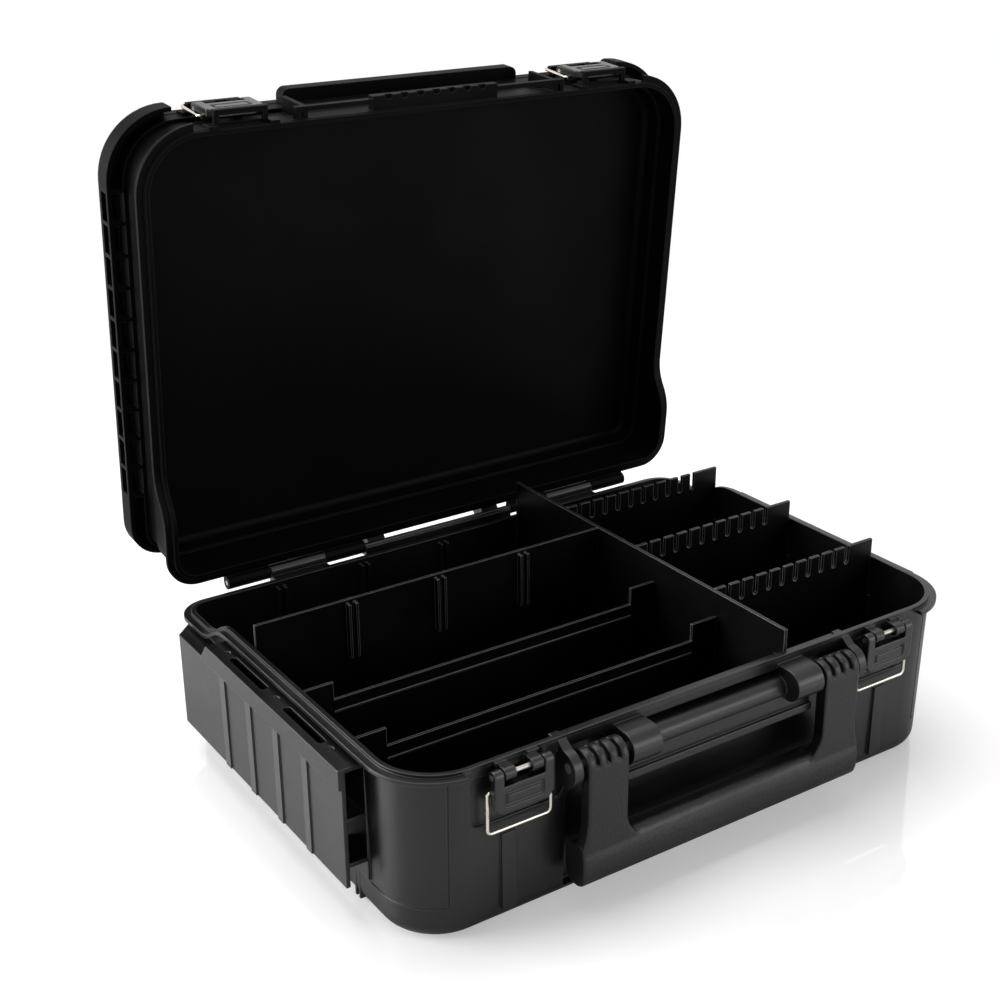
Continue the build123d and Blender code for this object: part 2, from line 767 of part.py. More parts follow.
bay_face = -BAY_Y - WALL - DIVIDER_CLEAR
with BuildPart() as center_partition:
    add(
        side_prism(
            (
                (-bay_face, FLOOR_T + DIVIDER_CLEAR),
                (wall_at(HALF_D, 0) - BOTTOM_R, FLOOR_T + DIVIDER_CLEAR),
                (wall_at(HALF_D, 0) - DIVIDER_CLEAR, FLOOR_T + BOTTOM_R),
                (wall_at(HALF_D, RIM_Z - RIM_DROP) - 2 * DIVIDER_CLEAR, RIM_Z - RIM_DROP),
                (wall_at(HALF_D, RIM_Z - RIM_DROP) - 3 * DIVIDER_CLEAR, DIVIDER_TOP),
                (-wall_at(HALF_D, DIVIDER_TOP) + 2 * DIVIDER_CLEAR, DIVIDER_TOP),
                (-HALF_D + 2 * DIVIDER_CLEAR, BAY_TOP_Z + WALL + DIVIDER_CLEAR),
                (-bay_face, BAY_TOP_Z + WALL + DIVIDER_CLEAR),
            ),
            (PARTITION_X - PARTITION_T / 2, PARTITION_X + PARTITION_T / 2),
        )
    )
save(center_partition.part, "center_partition")

left_end = PARTITION_X - PARTITION_T / 2 - DIVIDER_CLEAR


def left_bay_outline(top_points):
    """Outline of a divider across the left bay, seen from the front."""
    return [
        (-wall_at(HALF_W, 0) + BOTTOM_R, FLOOR_T + DIVIDER_CLEAR),
        (left_end, FLOOR_T + DIVIDER_CLEAR),
        *top_points,
        (-wall_at(HALF_W, 0) + DIVIDER_CLEAR, FLOOR_T + BOTTOM_R),
    ]


wall_end = -HALF_W + 3 * DIVIDER_CLEAR
with BuildPart() as rear_partition:
    with BuildSketch(Plane.XZ.offset(-REAR_Y - REAR_T / 2)):
        Polygon(*left_bay_outline([(left_end, DIVIDER_TOP), (wall_end, DIVIDER_TOP), (wall_end, RIM_Z)]), align=None)
    extrude(amount=REAR_T)
    ribs = []
    for rib_x in RIB_SLOT_XS:
        for side in LEFT_RIGHT:
            x = rib_x + side * (REAR_T / 2 + RIB_T)
            ribs.append(
                block(
                    (x - RIB_T / 2, x + RIB_T / 2),
                    (REAR_Y - REAR_T / 2 - RIB_OUT, REAR_Y + REAR_T / 2 + RIB_OUT),
                    (DIVIDER_TOP - RIB_H, DIVIDER_TOP - BEAD_H),
                )
            )
    add(ribs)
save(rear_partition.part, "rear_partition")

for number, plate_y in enumerate(PLATE_YS, 1):
    with BuildPart() as divider_plate:
        with BuildSketch(Plane.XZ.offset(-plate_y - PLATE_T / 2)):
            Polygon(
                *left_bay_outline(
                    [
                        (left_end, PLATE_TOP),
                        (left_end - PLATE_END_L, PLATE_TOP),
                        (left_end - PLATE_END_L, PLATE_LOW),
                        (wall_end + PLATE_END_L, PLATE_LOW),
                        (wall_end + PLATE_END_L, PLATE_TOP),
                        (wall_end, PLATE_TOP),
                    ]
                ),
                align=None,
            )
        extrude(amount=PLATE_T)
        add(
            block(
                (wall_end + PLATE_END_L, left_end - PLATE_END_L),
                (plate_y - PLATE_T / 2 - PLATE_BEAD, plate_y + PLATE_T / 2 + PLATE_BEAD),
                (PLATE_STEP_Z - PLATE_BEAD, PLATE_STEP_Z + PLATE_BEAD),
            )
        )
    save(divider_plate.part, f"divider_plate_{number}")

right_start = PARTITION_X + PARTITION_T / 2 + DIVIDER_CLEAR
for number, comb_y in enumerate(COMB_YS, 1):
    with BuildPart() as comb:
        with BuildSketch(Plane.XZ.offset(-comb_y - COMB_T / 2)):
            Polygon(
                (right_start, FLOOR_T + DIVIDER_CLEAR),
                (wall_at(HALF_W, 0) - BOTTOM_R, FLOOR_T + DIVIDER_CLEAR),
                (wall_at(HALF_W, 0) - DIVIDER_CLEAR, FLOOR_T + BOTTOM_R),
                (-wall_end, RIM_Z),
                (-wall_end, DIVIDER_TOP),
                (right_start, DIVIDER_TOP),
                align=None,
            )
            slot_xs = [right_start + COMB_START + COMB_PITCH * i for i in range(COMB_TEETH)]
            with Locations([(x, DIVIDER_TOP) for x in slot_xs]):
                SlotOverall(2 * COMB_SLOT_DEPTH, COMB_SLOT_W, rotation=90, mode=Mode.SUBTRACT)
        extrude(amount=COMB_T)
    save(comb.part, f"comb_divider_{number}")

# Carry handle and its pins
grip_top = GRIP_BOTTOM + GRIP_H
with BuildPart() as handle:
    pieces = []
    arm_front = HANDLE_Y - KNUCKLE_R
    for side in LEFT_RIGHT:
        arm = span(side, (ARM_INNER, ARM_OUTER))
        pieces.append(cylinder_x(HANDLE_Y, HANDLE_Z, KNUCKLE_R, arm))
        with BuildPart() as arm_plate:
            with BuildSketch(Plane.XZ.offset(-arm_front - ARM_T)):
                Polygon(
                    (side * (ARM_INNER - ARM_T), grip_top - 1),
                    (side * ARM_INNER, grip_top + ARM_T),
                    (side * ARM_INNER, HANDLE_Z),
                    (side * ARM_OUTER, HANDLE_Z),
                    (side * ARM_OUTER, grip_top + 2 * ARM_T),
                    (side * GRIP_END, grip_top),
                    (side * GRIP_END, grip_top - ARM_T),
                    (side * (ARM_INNER - ARM_T), grip_top - ARM_T),
                    align=None,
                )
            extrude(amount=ARM_T)
        pieces.append(arm_plate.part)
    with BuildSketch(Plane.YZ.offset(-GRIP_END)):
        with Locations(((GRIP_FRONT_Y + GRIP_BACK_Y) / 2, (GRIP_BOTTOM + grip_top) / 2)):
            RectangleRounded(GRIP_BACK_Y - GRIP_FRONT_Y, GRIP_H, ARM_T)
    extrude(amount=2 * GRIP_END)
    add(pieces)
    cuts = [cylinder_x(HANDLE_Y, HANDLE_Z, HANDLE_PIN_R + HOLE_CLEAR, (-REACH, REACH))]
    for side in LEFT_RIGHT:
        middle = side * (ARM_INNER + ARM_OUTER) / 2
        for step in (-1, 0, 1):
            x = middle + step * KNUCKLE_SLOT_PITCH
            slot = (x - KNUCKLE_SLOT_W / 2, x + KNUCKLE_SLOT_W / 2)
            ring = cylinder_x(HANDLE_Y, HANDLE_Z, KNUCKLE_R + 1, slot) - cylinder_x(
                HANDLE_Y, HANDLE_Z, KNUCKLE_R - KNUCKLE_SLOT_DEPTH, slot
            )
            cuts.append(
                ring
                & block(
                    slot,
                    (HANDLE_Y - 2 * KNUCKLE_R, HANDLE_Y + KNUCKLE_R / 2),
                    (HANDLE_Z - KNUCKLE_R / 2, HANDLE_Z + 2 * KNUCKLE_R),
                )
            )
    add(cuts, mode=Mode.SUBTRACT)
save(handle.part, "handle")


def pin_pair(y, z, radius, limits):
    """Two equal pins along X, one on each side."""
    with BuildPart() as pins:
        add([cylinder_x(y, z, radius, span(side, limits)) for side in LEFT_RIGHT])
    return pins.part


save(pin_pair(HANDLE_Y, HANDLE_Z, HANDLE_PIN_R, (BARREL_IN + CHEEK_T, CHEEK_IN + CHEEK_T)), "handle_pins")
save(pin_pair(HINGE_Y, HINGE_Z, HINGE_PIN_R, HINGE_SPAN), "lid_hinge_pins")

# Latches, their pins and wire bails
pin_limits = (LATCH_X - LEVER_W / 2, LATCH_X + LEVER_W / 2)
save(pin_pair(LATCH_PIN_Y, LATCH_PIN_Z, LATCH_PIN_R, pin_limits), "base_latch_pins")
save_open(pin_pair(LATCH_PIN_Y, UPPER_PIN_Z, LATCH_PIN_R, pin_limits), "upper_latch_pins")
for side, hand in ((-1, "left"), (1, "right")):
    place = Pos(side * LATCH_X, 0, 0)
    save(place * lever(LATCH_PIN_Z), "base_latch_" + hand)
    save(place * bail(LATCH_PIN_Z, 0), "base_bail_" + hand)
    save_open(place * lever(UPPER_PIN_Z), "upper_latch_" + hand)
    save_open(place * bail(UPPER_PIN_Z, 180 - UPPER_BAIL_LEAN), "upper_bail_" + hand)


# Middle tray
def tray_body(margin, top):
    """Drafted body rising from the rim to a height."""
    with BuildPart() as body:
        extrude(plan(margin, RIM_Z - RIM_DROP), amount=top - RIM_Z + RIM_DROP, taper=DRAFT)
    return body.part


with BuildPart() as middle_tray:
    add([tray_body(WALL, TRAY_STEP_Z), tray_body(WALL - TRAY_STEP_IN, COVER_Z)])
    with BuildPart(mode=Mode.PRIVATE) as tray_hollow:
        add(tray_body(-TRAY_STEP_IN, TRAY_FLOOR_Z))
        fillet(tray_hollow.faces().sort_by(Axis.Z)[-1].edges(), TRAY_INNER_R)
    with BuildPart(mode=Mode.PRIVATE) as deck_hollow:
        extrude(plan(-TRAY_STEP_IN - WALL, TRAY_FLOOR_Z + TRAY_FLOOR_T), amount=REACH)
    with BuildPart(mode=Mode.PRIVATE) as spigot:
        extrude(plan(-TRAY_STEP_IN - BODY_GAP, TRAY_FLOOR_Z), amount=TRAY_TOP_Z - TRAY_FLOOR_Z)
        extrude(plan(-TRAY_STEP_IN - WALL, TRAY_FLOOR_Z), amount=REACH, mode=Mode.SUBTRACT)
    add(
        [
            tray_body(0, TRAY_STEP_Z),
            tray_hollow.part,
            deck_hollow.part,
            rim_slab(-REACH / 2, PARTING_GAP),
        ],
        mode=Mode.SUBTRACT,
    )
    add([spigot.part, rim_band(0, FLANGE_OUT, PARTING_GAP + BEAD_H, PARTING_GAP + BEAD_H + FLANGE_T)])
    add(
        block(
            (-FLANGE_CUT_HALF, FLANGE_CUT_HALF), (-WALL_Y - 2 * FLANGE_OUT, -WALL_Y), (RIM_Z, TRAY_STEP_Z)
        ),
        mode=Mode.SUBTRACT,
    )
    extras = []
    wall_in = -HALF_D - TRAY_ROOT
    for side in LEFT_RIGHT:
        place = Pos(side * LATCH_X, 0, 0)
        extras.append(place * catch_bridge(RIM_Z + PARTING_GAP, LEDGE_OUT))
        extras.append(place * latch_blocks(UPPER_PIN_Z, COVER_Z - BODY_GAP, TRAY_STEP_IN / 2 - HALF_D))
        extras.append(
            block(
                span(side, (LID_CHEEK_X - LID_CHEEK_T / 2, LID_CHEEK_X + LID_CHEEK_T / 2)),
                (RAIL_Y, wall_in),
                (RAIL_Z, COVER_Z - BODY_GAP),
            )
        )
        extras.append(
            block(span(side, (RAIL_HALF - LID_CHEEK_T, RAIL_HALF)), (RAIL_Y, wall_in), (RAIL_Z, RAIL_Z + RAIL_H))
        )
    extras.append(block((-RAIL_HALF, RAIL_HALF), (RAIL_Y, RAIL_Y + RAIL_T), (RAIL_Z, RAIL_Z + RAIL_H)))
    extras.append(
        block(
            (-RAIL_THICK_HALF, RAIL_THICK_HALF), (RAIL_THICK_Y, wall_in), (RAIL_Z, RAIL_Z + RAIL_THICK_H)
        )
    )
    for wall_x in DECK_WALL_XS:
        extras.append(
            block(
                (wall_x - DECK_WALL_T / 2, wall_x + DECK_WALL_T / 2),
                (-HALF_D + TRAY_STEP_IN + WALL / 2, HALF_D - TRAY_STEP_IN - WALL / 2),
                (TRAY_FLOOR_Z + TRAY_FLOOR_T / 2, TRAY_FLOOR_Z + TRAY_FLOOR_T + DECK_WALL_H),
            )
        )
    extras.append(
        knuckles(
            LID_KNUCKLES,
            HINGE_Y,
            HINGE_Z,
            HINGE_R,
            HINGE_PIN_R + HOLE_CLEAR,
            HALF_D + WALL / 2,
            (RIM_Z - RIM_DROP + PARTING_GAP + BEAD_H, HINGE_Z + HINGE_R),
        )
    )
    extras.append(
        knuckles(
            COVER_TRAY_KNUCKLES,
            COVER_HINGE_Y,
            COVER_HINGE_Z,
            COVER_HINGE_R,
            COVER_PIN_R,
            HALF_D - TRAY_STEP_IN,
            (COVER_HINGE_Z - COVER_HINGE_R, COVER_HINGE_Z - BODY_GAP),
        )
    )
    add(extras)
    scallop_pitch = 2 * RAIL_THICK_HALF / (SCALLOP_COUNT + 1)
    scallops = []
    for index in range(SCALLOP_COUNT):
        x = -RAIL_THICK_HALF + scallop_pitch * (index + 1)
        with BuildPart() as scallop:
            with BuildSketch(Plane.XY.offset(RAIL_Z - 1)):
                with Locations((x, RAIL_THICK_Y)):
                    Circle(SCALLOP_R)
            extrude(amount=RAIL_THICK_H / 2 + 1)
        scallops.append(scallop.part)
    add(scallops, mode=Mode.SUBTRACT)
save_open(middle_tray.part, "middle_tray")
save_open(
    pin_pair(COVER_HINGE_Y, COVER_HINGE_Z, COVER_PIN_R, (COVER_TRAY_KNUCKLES[0][0], COVER_TRAY_KNUCKLES[1][1])),
    "cover_hinge_pins",
)


# Top cover
def cover_outline(inset, height):
    """Plan outline of the top cover, drawn inward by an inset."""
    depth = COVER_BACK_Y - COVER_FRONT_Y - 2 * inset
    with BuildSketch(Plane.XY.offset(height)) as outline:
        with Locations((0, (COVER_BACK_Y + COVER_FRONT_Y) / 2)):
            Rectangle(2 * (COVER_HALF_W - inset), depth)
        fillet(outline.vertices().group_by(Axis.Y)[0], COVER_FRONT_R - inset)
        fillet(outline.vertices().group_by(Axis.Y)[-1], COVER_BACK_R - inset)
    return outline.sketch


cover_low = COVER_Z + BODY_GAP
with BuildPart() as top_cover:
    extrude(cover_outline(0, cover_low), amount=COVER_TOP_Z - cover_low)
    fillet(top_cover.faces().sort_by(Axis.Z)[-1].edges(), COVER_EDGE_R)
    with BuildPart(mode=Mode.PRIVATE) as store:
        extrude(plan(0, cover_low), amount=COVER_TOP_Z - COVER_SKIRT - cover_low)
    with BuildPart(mode=Mode.PRIVATE) as groove:
        extrude(cover_outline(COVER_SKIRT, cover_low), amount=COVER_EDGE_R + LADDER_H / 2)
        extrude(plan(COVER_SKIRT, cover_low), amount=REACH, mode=Mode.SUBTRACT)
    add(
        [
            store.part,
            groove.part,
            block((-FLANGE_CUT_HALF, FLANGE_CUT_HALF), (-REACH, COVER_CUT_Y), (0, REACH)),
        ],
        mode=Mode.SUBTRACT,
    )
    bay = (LADDER_END_Y - LADDER_START_Y) / LADDER_BAYS
    rungs = []
    pockets = []
    for side in LEFT_RIGHT:
        for index in range(LADDER_BAYS + 1):
            y = LADDER_START_Y + bay * index
            rungs.append(
                block(
                    span(side, (HALF_W + WALL / 2, COVER_HALF_W - COVER_SKIRT / 2)),
                    (y - RUNG_W / 2, y + RUNG_W / 2),
                    (cover_low, COVER_TOP_Z - COVER_EDGE_R),
                )
            )
        for index in range(LADDER_BAYS):
            y = LADDER_START_Y + bay * (index + 1 / 2)
            half = (bay - RUNG_W) / 2
            pockets.append(
                block(
                    span(side, (COVER_HALF_W - COVER_SKIRT - 1, COVER_HALF_W + 1)),
                    (y - half, y + half),
                    (LADDER_Z, LADDER_Z + LADDER_H),
                )
            )
        rungs.append(Pos(side * LATCH_X, 0, 0) * catch_bridge(UPPER_CATCH_Z, UPPER_LEDGE_OUT))
    lip_root = COVER_CUT_Y + WALL / 2
    with BuildPart(mode=Mode.PRIVATE) as lip:
        add(
            block(
                (-COVER_LIP_HALF, COVER_LIP_HALF),
                (COVER_LIP_Y, lip_root),
                (COVER_TOP_Z - COVER_LIP_H, COVER_TOP_Z - 1),
            )
        )
        fillet(lip.edges().filter_by(Axis.Z).group_by(Axis.Y)[0], COVER_LIP_H / 2)
    rungs.append(lip.part)
    rungs.append(
        knuckles(
            COVER_LID_KNUCKLES,
            COVER_HINGE_Y,
            COVER_HINGE_Z,
            COVER_HINGE_R,
            COVER_PIN_R + HOLE_CLEAR,
            COVER_BACK_Y - 1,
            (cover_low, COVER_HINGE_Z + COVER_HINGE_R),
        )
    )
    add(rungs)
    add(pockets, mode=Mode.SUBTRACT)
save_open(top_cover.part, "top_cover")
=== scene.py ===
# %% [markdown]
# # A two-deck tackle case in moulded plastic
# The case is a deep base tub with side racks, a thick lid that is itself a tray under a
# hinged top cover, a carry handle, four lever latches with wire bails, and loose dividers.
# Its solids come ready-made from the CAD model, so this lesson spends its effort on what a
# solid can't say: softened mould edges, skin texture, wire finish, light and camera.

# %% Load the frame
import json
import math
import bpy
import bmesh
from mathutils import Matrix, Vector


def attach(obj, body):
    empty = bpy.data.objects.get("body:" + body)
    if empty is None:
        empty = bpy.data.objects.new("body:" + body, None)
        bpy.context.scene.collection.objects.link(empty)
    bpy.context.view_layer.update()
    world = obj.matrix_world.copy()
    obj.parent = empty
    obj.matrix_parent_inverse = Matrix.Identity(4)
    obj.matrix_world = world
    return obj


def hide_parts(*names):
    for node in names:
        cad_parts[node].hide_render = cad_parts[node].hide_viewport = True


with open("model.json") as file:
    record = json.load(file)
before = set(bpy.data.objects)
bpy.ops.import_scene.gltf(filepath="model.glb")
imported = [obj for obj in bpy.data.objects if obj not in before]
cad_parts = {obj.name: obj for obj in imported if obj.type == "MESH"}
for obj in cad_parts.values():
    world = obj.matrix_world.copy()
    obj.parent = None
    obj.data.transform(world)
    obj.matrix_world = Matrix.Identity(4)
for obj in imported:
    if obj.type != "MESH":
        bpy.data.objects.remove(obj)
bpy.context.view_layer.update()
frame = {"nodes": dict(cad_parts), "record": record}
NODES = frame["nodes"]
BEHAVIOUR = frame["record"]["behaviour"]
BODY_OF = {node: body for body, group in BEHAVIOUR["bodies"].items() for node in group}
SLOT_OF = {part["node"]: part["material_slot"] for part in frame["record"]["subparts"]}
MM = 0.001


# %% [markdown]
# The camera comes first, because every choice of detail depends on how large a part of the
# picture it fills. A product shot like this is taken from well above the rim with a short
# telephoto lens, so verticals stay nearly straight. The place and the three angles are
# written as numbers, and a matrix is built from them instead of aiming at a target, because
# that keeps the small roll of a real camera.

# %% Camera
CAMERA_AT = (-473.3, -652.8, 485.6)
YAW, PITCH, ROLL = 33.42, 22.74, -0.51
LENS_MM, SENSOR_MM = 57.24, 36.0
NEAR_CLIP_MM = 10


def camera_matrix(place, yaw, pitch, roll):
    """World matrix of a camera that looks along a heading, tipped down and rolled."""
    y, p, r = (math.radians(a) for a in (yaw, pitch, roll))
    ahead = Vector((math.sin(y) * math.cos(p), math.cos(y) * math.cos(p), -math.sin(p)))
    right = Vector((math.cos(y), -math.sin(y), 0))
    up = right.cross(ahead)
    rolled = math.cos(r) * right + math.sin(r) * up
    upright = math.cos(r) * up - math.sin(r) * right
    turn = Matrix((rolled, upright, -ahead)).transposed()
    return Matrix.Translation(Vector(place) * MM) @ turn.to_4x4()


camera = bpy.data.objects.new("camera", bpy.data.cameras.new("camera"))
bpy.context.scene.collection.objects.link(camera)
camera.data.sensor_width = SENSOR_MM
camera.data.lens = LENS_MM
camera.data.clip_start = NEAR_CLIP_MM * MM
camera.matrix_world = camera_matrix(CAMERA_AT, YAW, PITCH, ROLL)
bpy.context.scene.camera = camera
print("camera", [round(v, 3) for v in camera.location])

# %% [markdown]
# Colours are easier to compare with a swatch as hex codes, but shaders work in linear light,
# so one function turns one into the other. A second function adds a shader node, sets its
# values and links its inputs. The four after it wrap the nodes that come up again and again:
# a sum, a mix of colours, a change of range and a noise whose grain is given in millimetres.

# %% Colour and node helpers
MIX_FIRST, MIX_SECOND, MIX_RESULT = 6, 7, 2


def linear(code):
    """Linear RGBA from an sRGB hex code."""
    values = [int(code[i:i + 2], 16) / 255 for i in (1, 3, 5)]
    return [v / 12.92 if v <= 0.04045 else ((v + 0.055) / 1.055) ** 2.4 for v in values] + [1.0]


def grey(level):
    """RGBA of an even grey of a linear level."""
    return [level, level, level, 1.0]


def add_node(tree, kind, links=None, inputs=None, **settings):
    """Add a node with its settings, its input values and its links from other sockets."""
    node = tree.nodes.new(kind)
    for name, value in settings.items():
        setattr(node, name, value)
    for name, value in (inputs or {}).items():
        node.inputs[name].default_value = value
    for name, socket in (links or {}).items():
        tree.links.new(socket, node.inputs[name])
    return node


def calc(tree, operation, *terms):
    """Output of a Math node whose terms are sockets or numbers."""
    node = add_node(tree, "ShaderNodeMath", operation=operation)
    for slot, term in zip(node.inputs, terms):
        if isinstance(term, float):
            slot.default_value = term
        else:
            tree.links.new(term, slot)
    return node.outputs[0]


def mix_colours(tree, factor, first, second):
    """Output of a mix of two colours, each an RGBA list or a socket."""
    node = add_node(tree, "ShaderNodeMix", {"Factor": factor}, data_type="RGBA")
    for slot, colour in ((MIX_FIRST, first), (MIX_SECOND, second)):
        if isinstance(colour, list):
            node.inputs[slot].default_value = colour
        else:
            tree.links.new(colour, node.inputs[slot])
    return node.outputs[MIX_RESULT]


def remap(tree, value, start, end, low=0.0, high=1.0):
    """Output of a Map Range node that takes start to low and end to high."""
    node = add_node(
        tree, "ShaderNodeMapRange", {"Value": value},
        {"From Min": start, "From Max": end, "To Min": low, "To Max": high},
    )
    return node.outputs["Result"]


def noise(tree, place, size_mm, detail, roughness=0.5):
    """Output of a noise pattern with features of about one size."""
    node = add_node(
        tree, "ShaderNodeTexNoise", {"Vector": place},
        {"Scale": 1 / (size_mm * MM), "Detail": detail, "Roughness": roughness},
    )
    return node.outputs["Fac"]


def object_place(tree):
    """Coordinates that stay with the object."""
    return add_node(tree, "ShaderNodeTexCoord").outputs["Object"]


def new_material(name):
    """Empty node material with its node tree and its Principled shader."""
    material = bpy.data.materials.new(name)
    material.use_nodes = True
    tree = material.node_tree
    return material, tree, tree.nodes["Principled BSDF"]


# %% [markdown]
# The shell is black polypropylene. Its mould was etched, so the skin has a fine even grain
# that scatters highlights and hides scratches. Grain of 0.3 mm can't be seen at this size, so
# it is drawn at just under a millimetre. Broad, faint changes of gloss stand for the way such a
# moulding cools unevenly. Every edge is painted paler than the flat faces, a painted highlight
# for the thin lights that edges catch: where the softened normal turns away from the true one
# there is an edge, and the difference of the two makes the mask for it.
#
# Black plastic has hardly any colour of its own, so most of its tone is mirrored light. That
# is why each plastic has a gloss of its own, and the lid's, which is nearly matt, looks deepest.
# The lid and the dividers are also given a darker base colour than the shell: painted shade
# that stands for the dark inside of the case.
# The four upright strips on each rack get a paler tone, laid by a mask from the coordinates:
# a painted highlight for the light those strips catch.

# %% Moulded plastics
PLASTIC_IOR = 1.49
EDGE_MM, EDGE_SAMPLES = 0.8, 6
EDGE_STARTS, EDGE_FULL = 0.99, 0.75
BROAD_MM, SCUFF_MM = 45.45, 6.25
SMOOTHER, ROUGHER = 0.05, 0.07


def grain_height(tree, place, grain_mm, pebble):
    """Height pattern of a skin: round pebbles or plain etched grain."""
    if not pebble:
        return noise(tree, place, grain_mm, 2.0, 0.6)
    cells = add_node(
        tree, "ShaderNodeTexVoronoi", {"Vector": place},
        {"Scale": 1 / (grain_mm * MM), "Randomness": 0.9}, feature="SMOOTH_F1",
    )
    return cells.outputs["Distance"]


def moulded_plastic(name, colours, rough, grain_mm, depth_mm, gloss=0.5, pebble=False):
    """Moulded plastic; its colours are those of flat skin, scuffs and the painted highlight on
    its edges.
    """
    # The third colour is painted highlight: the pale tone given to the edges.
    plain, scuffed, painted_edge_highlight = (linear(colour) for colour in colours)
    material, tree, shader = new_material(name)
    place = object_place(tree)
    broad = noise(tree, place, BROAD_MM, 3.0)
    scuffs = noise(tree, place, SCUFF_MM, 6.0, 0.7)
    height = grain_height(tree, place, grain_mm, pebble)
    soft = add_node(
        tree, "ShaderNodeBevel", inputs={"Radius": EDGE_MM * MM}, samples=EDGE_SAMPLES,
    ).outputs["Normal"]
    true = add_node(tree, "ShaderNodeNewGeometry").outputs["Normal"]
    turn = add_node(tree, "ShaderNodeVectorMath", {0: soft, 1: true}, operation="DOT_PRODUCT")
    # Painted highlight: this mask finds the edges, and the colour below is mixed towards the pale
    # edge colour there.
    edge = remap(tree, turn.outputs["Value"], EDGE_STARTS, EDGE_FULL)
    bump = add_node(
        tree, "ShaderNodeBump", {"Height": height, "Normal": soft},
        {"Strength": 1.0, "Distance": depth_mm * MM},
    )
    tint = mix_colours(tree, remap(tree, scuffs, 0.55, 0.8, 0.0, 0.5), plain, scuffed)
    colour = mix_colours(tree, edge, tint, painted_edge_highlight)
    roughness = remap(tree, broad, 0.3, 0.7, rough - SMOOTHER, rough + ROUGHER)
    tree.links.new(colour, shader.inputs["Base Color"])
    tree.links.new(roughness, shader.inputs["Roughness"])
    tree.links.new(bump.outputs["Normal"], shader.inputs["Normal"])
    shader.inputs["IOR"].default_value = PLASTIC_IOR
    shader.inputs["Specular IOR Level"].default_value = gloss
    return material


STRIP_Y, STRIP_PITCH, STRIP_HALF = 15.5, 31.5, 2.6
STRIP_REACH, STRIP_FACE, STRIP_Z, STRIP_RISE = 60.0, 188.9, 47.5, 27.0


def painted_strip_highlights(material, colour):
    """Paint a highlight as a paler tone over the four upright strips of each side rack."""
    tree = material.node_tree
    skin = tree.nodes["Principled BSDF"].inputs["Base Color"]
    axes = add_node(tree, "ShaderNodeSeparateXYZ", {"Vector": object_place(tree)}).outputs
    along = calc(tree, "SUBTRACT", axes["Y"], STRIP_Y * MM)
    offset = calc(tree, "PINGPONG", along, STRIP_PITCH * MM / 2)
    mask = calc(tree, "LESS_THAN", offset, STRIP_HALF * MM)
    limits = (
        calc(tree, "LESS_THAN", calc(tree, "ABSOLUTE", axes["Y"]), STRIP_REACH * MM),
        calc(tree, "GREATER_THAN", calc(tree, "ABSOLUTE", axes["X"]), STRIP_FACE * MM),
        calc(tree, "COMPARE", axes["Z"], STRIP_Z * MM, STRIP_RISE * MM),
    )
    for limit in limits:
        mask = calc(tree, "MULTIPLY", mask, limit)
    # Painted highlight: inside the mask the skin colour is mixed towards the paler strip colour.
    tree.links.new(mix_colours(tree, mask, skin.links[0].from_socket, linear(colour)), skin)


# The third colour of each plastic is the pale colour of its painted edge highlight.
SHELL_SKIN = moulded_plastic(
    "moulded_etched_polypropylene", ("#0B0B0C", "#1A1A1B", "#3C3C3E"),
    rough=0.33, grain_mm=0.9, depth_mm=0.06, gloss=0.46,
)
# Painted highlight on the four upright strips of each rack.
painted_strip_highlights(SHELL_SKIN, "#38383A")
# Painted shade: the lid's flat colour is darker than the shell's, for the dark inside of the
# case.
LID_SKIN_PAINTED_SHADE = moulded_plastic(
    "moulded_satin_polypropylene_painted_shade", ("#060607", "#0E0E0F", "#303032"),
    rough=0.5, grain_mm=0.8, depth_mm=0.03, gloss=0.05,
)
# Painted shade: the dividers' flat colour is darker than the shell's, for the dark inside of the
# case.
DIVIDER_SKIN_PAINTED_SHADE = moulded_plastic(
    "moulded_plain_polypropylene_painted_shade", ("#060607", "#101011", "#8A8A8C"),
    rough=0.34, grain_mm=0.7, depth_mm=0.015, gloss=0.15,
)
GRIP_SKIN = moulded_plastic(
    "moulded_pebbled_polypropylene", ("#0E0E0F", "#1C1C1D", "#2C2C2E"),
    rough=0.38, grain_mm=1.7, depth_mm=0.16, gloss=0.4, pebble=True,
)
LATCH_SKIN = moulded_plastic(
    "moulded_acetal", ("#101011", "#202021", "#404042"),
    rough=0.28, grain_mm=0.7, depth_mm=0.015,
)
print("plastics", [m.name for m in bpy.data.materials if m.name.startswith("moulded")])

# %% [markdown]
# The bails are spring-steel wire with bright nickel plating: almost a mirror, but drawn wire
# keeps faint marks and dulls where it rubs the catches. The pins are plain drawn steel, greyer
# and softer in their shine.

# %% Metals
PATCH_MM = 7.143
LINE_DEPTH_MM, LINE_STRENGTH = 0.01, 0.5
DULLER = 0.12


def drawn_wire(name, colour, dull, rough, line_mm):
    """Metal wire with fine drawing marks and patches of duller plating."""
    material, tree, shader = new_material(name)
    place = object_place(tree)
    patches = noise(tree, place, PATCH_MM, 4.0)
    lines = noise(tree, place, line_mm, 2.0)
    tint = mix_colours(tree, patches, linear(colour), linear(dull))
    roughness = remap(tree, patches, 0.3, 0.7, rough, rough + DULLER)
    bump = add_node(
        tree, "ShaderNodeBump", {"Height": lines},
        {"Strength": LINE_STRENGTH, "Distance": LINE_DEPTH_MM * MM},
    )
    tree.links.new(tint, shader.inputs["Base Color"])
    tree.links.new(roughness, shader.inputs["Roughness"])
    tree.links.new(bump.outputs["Normal"], shader.inputs["Normal"])
    shader.inputs["Metallic"].default_value = 1.0
    return material


WIRE_STEEL = drawn_wire("nickel_plated_spring_wire", "#E6E1D8", "#C9C2B6", 0.16, 0.5)
PIN_STEEL = drawn_wire("drawn_steel_pin", "#B9B6B0", "#8F8C87", 0.3, 0.4)

